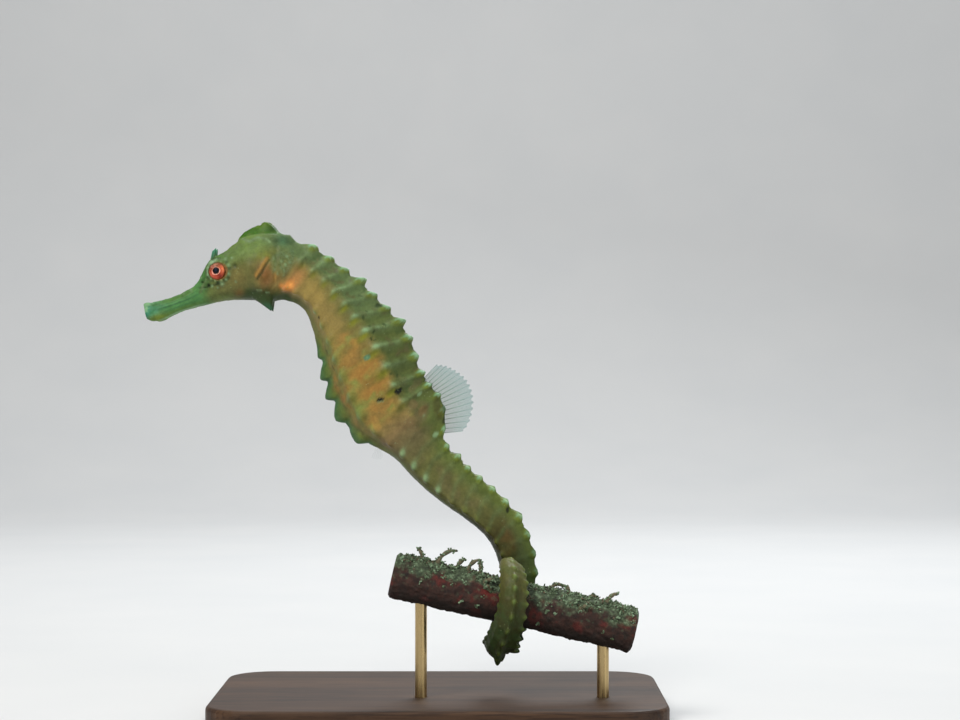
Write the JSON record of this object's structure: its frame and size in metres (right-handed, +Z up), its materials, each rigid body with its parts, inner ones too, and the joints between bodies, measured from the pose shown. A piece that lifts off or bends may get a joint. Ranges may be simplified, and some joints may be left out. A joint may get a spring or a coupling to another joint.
{
  "type": "seahorse",
  "caption": "Still, life-size model of a spiny, olive-green and orange seahorse that holds a short cut length of branch with its tail, on a small wooden display stand with brass rods.",
  "frame": {"origin": "middle of the stand base's underside, which is the middle of the underside of the whole part's box", "axes": "+Z up; the seahorse faces -X, its own left flank faces -Y, and the branch runs along X and down towards +X"},
  "size_m": [0.0977, 0.056, 0.0933],
  "materials": {
    "skin": "satin, mottled olive, orange-tan and pale green",
    "eye": "glossy",
    "fin": "thin, clear and finely rayed",
    "branch": "rough, with a turf of small green algae",
    "stand_wood": "dark, waxed",
    "stand_brass": "satin"
  },
  "bodies": {
    "root": {"snout": "skin", "head": "skin", "coronet": "skin", "neck": "skin", "trunk_upper": "skin", "trunk_lower": "skin", "tail_1": "skin", "tail_2": "skin", "tail_3": "skin", "tail_4": "skin", "tail_5": "skin", "tail_tip": "skin", "eye_left": "eye", "eye_right": "eye", "fin_dorsal": "fin", "fin_pectoral_left": "fin", "fin_pectoral_right": "fin", "fin_anal": "fin", "perch": "branch", "stand_base": "stand_wood", "stand_rod_left": "stand_brass", "stand_rod_right": "stand_brass"}
  },
  "joints": []
}
